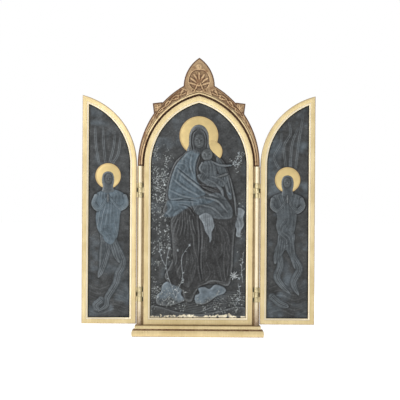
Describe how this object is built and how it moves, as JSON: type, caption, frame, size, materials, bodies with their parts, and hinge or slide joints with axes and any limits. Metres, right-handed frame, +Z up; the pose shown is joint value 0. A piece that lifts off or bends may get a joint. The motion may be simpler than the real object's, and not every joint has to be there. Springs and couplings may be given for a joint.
{
  "type": "triptych altarpiece",
  "caption": "Gilt Gothic triptych altarpiece: a pointed case on a moulded plinth with a dark carved relief and hinged half-arch wings that close over it.",
  "frame": {"origin": "middle of the plinth's underside, on the surface that it stands on", "axes": "+Z up, -Y to the front where the relief shows, +X to the viewer's right; the wings lie open in the plane of the front"},
  "size_m": [0.512, 0.062, 0.6126],
  "materials": {
    "gilding": "satin",
    "worn_gilding": "satin",
    "patinated_relief": "satin",
    "halo_gilding": "satin",
    "dark_wood": "matte",
    "hinge_brass": "satin"
  },
  "bodies": {
    "case": {"base_plinth": "gilding", "back_board": "dark_wood", "inner_frame": "gilding", "outer_arch": "worn_gilding", "central_relief": "patinated_relief", "halo_mother": "halo_gilding", "halo_child": "halo_gilding", "hinge_bead_left": "gilding", "hinge_case_leaf_lower_left": "hinge_brass", "hinge_pin_lower_left": "hinge_brass", "hinge_case_leaf_upper_left": "hinge_brass", "hinge_pin_upper_left": "hinge_brass", "hinge_bead_right": "gilding", "hinge_case_leaf_lower_right": "hinge_brass", "hinge_pin_lower_right": "hinge_brass", "hinge_case_leaf_upper_right": "hinge_brass", "hinge_pin_upper_right": "hinge_brass"},
    "wing_left": {"wing_frame_left": "gilding", "wing_relief_left": "patinated_relief", "halo_angel_left": "halo_gilding", "wing_back_left": "dark_wood", "hinge_wing_leaf_lower_left": "hinge_brass", "hinge_wing_leaf_upper_left": "hinge_brass"},
    "wing_right": {"wing_frame_right": "gilding", "wing_relief_right": "patinated_relief", "halo_angel_right": "halo_gilding", "wing_back_right": "dark_wood", "hinge_wing_leaf_lower_right": "hinge_brass", "hinge_wing_leaf_upper_right": "hinge_brass"}
  },
  "joints": [
    {"name": "hinge_left", "type": "hinge", "parent": "case", "child": "wing_left", "pos_m": [-0.1283, -0.0033, 0.2065], "axis": [0, 0, 1], "range_deg": [-5, 180]},
    {"name": "hinge_right", "type": "hinge", "parent": "case", "child": "wing_right", "pos_m": [0.1283, -0.0033, 0.2065], "axis": [0, 0, 1], "range_deg": [-180, 5]}
  ]
}
